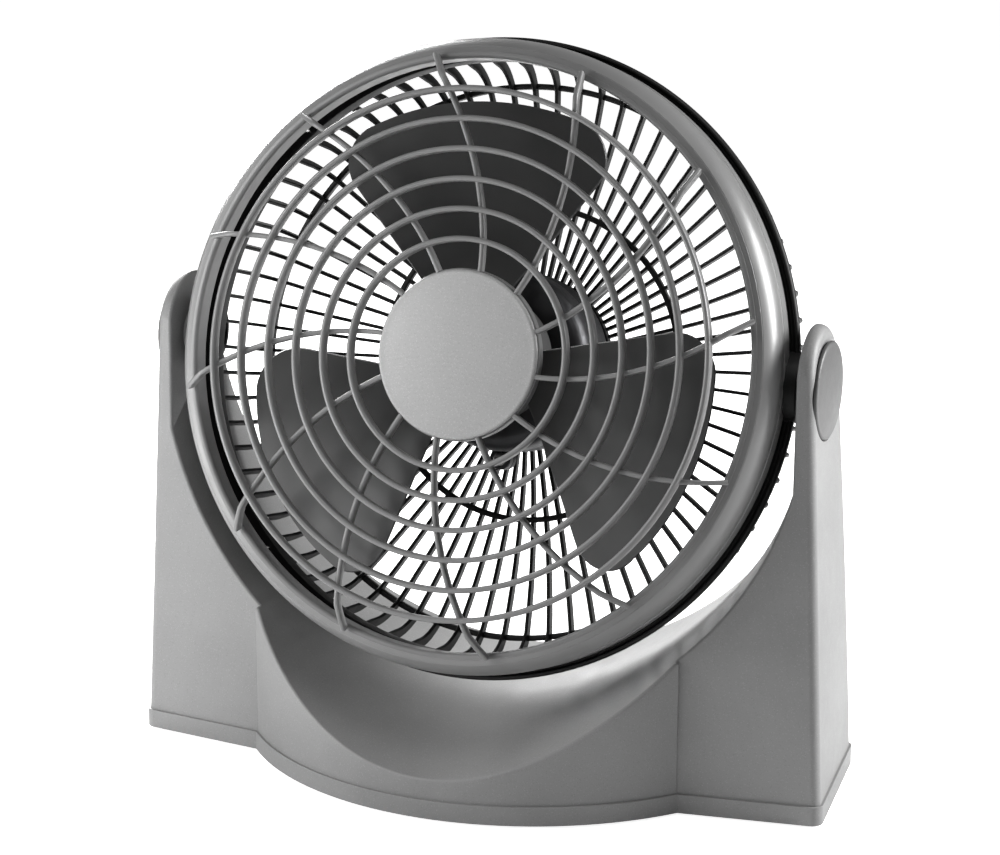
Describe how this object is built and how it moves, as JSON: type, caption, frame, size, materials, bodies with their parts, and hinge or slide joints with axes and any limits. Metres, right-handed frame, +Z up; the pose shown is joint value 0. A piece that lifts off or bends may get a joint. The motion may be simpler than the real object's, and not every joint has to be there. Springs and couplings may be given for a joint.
{
  "type": "tilting table fan",
  "caption": "Free-standing table fan: a round caged head with a propeller tilts between the arms of a hollow U-shaped stand and is clamped by a round knob on each side.",
  "frame": {"origin": "on the table, under the middle of the bounding box", "axes": "+Z up; the fan faces -Y; +X is towards the viewer's right when looking at the front"},
  "size_m": [0.3286, 0.1642, 0.3287],
  "materials": {
    "stand_grey": "fine-grained mid-grey moulded plastic",
    "grille_grey": "satin mid-grey moulded plastic",
    "cap_grey": "pearly light grey plastic with a fine speckle",
    "guard_black": "near-black moulded plastic",
    "blade_charcoal": "charcoal satin plastic",
    "switch_black": "black phenolic",
    "bush_nylon": "natural nylon",
    "foot_rubber": "dull black rubber",
    "gland_rubber": "dull black rubber",
    "zinc": "bright zinc plate",
    "dark_steel": "blackened steel",
    "shaft_steel": "ground steel",
    "motor_steel": "pressed zinc-plated steel sheet",
    "lamination_steel": "stacked steel laminations",
    "winding_copper": "enamelled copper wire",
    "brass": "turned brass",
    "bronze": "oil-filled bronze"
  },
  "bodies": {
    "stand": {"stand_shell": "stand_grey", "stand_base": "stand_grey", "base_screws": "zinc", "rubber_feet": "foot_rubber", "right_arm_bush": "bush_nylon", "left_arm_bush": "bush_nylon"},
    "head": {"front_grille": "grille_grey", "centre_cap": "cap_grey", "rear_guard": "guard_black", "grille_screws": "zinc", "right_tilt_bolt": "dark_steel", "left_tilt_bolt": "dark_steel", "right_tilt_washer": "zinc", "left_tilt_washer": "zinc", "right_friction_disc": "bush_nylon", "left_friction_disc": "bush_nylon", "motor_front_can": "motor_steel", "motor_rear_can": "motor_steel", "motor_bolts": "zinc", "motor_mount_screws": "zinc", "stator_core": "lamination_steel", "stator_coils": "winding_copper", "front_bearing": "bronze", "rear_bearing": "bronze", "control_cover": "guard_black", "cord_gland": "gland_rubber", "speed_switch": "switch_black", "switch_nut": "zinc", "terminal_block": "bush_nylon"},
    "rotor": {"motor_shaft": "shaft_steel", "rotor_core": "lamination_steel", "fan_blade": "blade_charcoal", "blade_nut": "blade_charcoal"},
    "speed_knob": {"speed_knob": "grille_grey"},
    "right_knob": {"right_knob": "cap_grey", "right_knob_insert": "brass"},
    "left_knob": {"left_knob": "cap_grey", "left_knob_insert": "brass"}
  },
  "joints": [
    {"name": "head_tilt", "type": "hinge", "parent": "stand", "child": "head", "pos_m": [0, 0.0008, 0.188], "axis": [1, 0, 0], "range_deg": [-75, 45]},
    {"name": "blade_spin", "type": "hinge", "parent": "head", "child": "rotor", "pos_m": [0, 0.0008, 0.188], "axis": [0, -0.9652, 0.2613], "continuous": true},
    {"name": "speed_knob_turn", "type": "hinge", "parent": "head", "child": "speed_knob", "pos_m": [0, 0.0008, 0.188], "axis": [0, 0.9652, -0.2613], "range_deg": [-135, 0]},
    {"name": "right_knob_turn", "type": "hinge", "parent": "stand", "child": "right_knob", "pos_m": [0.155, 0.0008, 0.188], "axis": [1, 0, 0], "range_deg": [0, 270]},
    {"name": "left_knob_turn", "type": "hinge", "parent": "stand", "child": "left_knob", "pos_m": [-0.155, 0.0008, 0.188], "axis": [-1, 0, 0], "range_deg": [0, 270]}
  ]
}
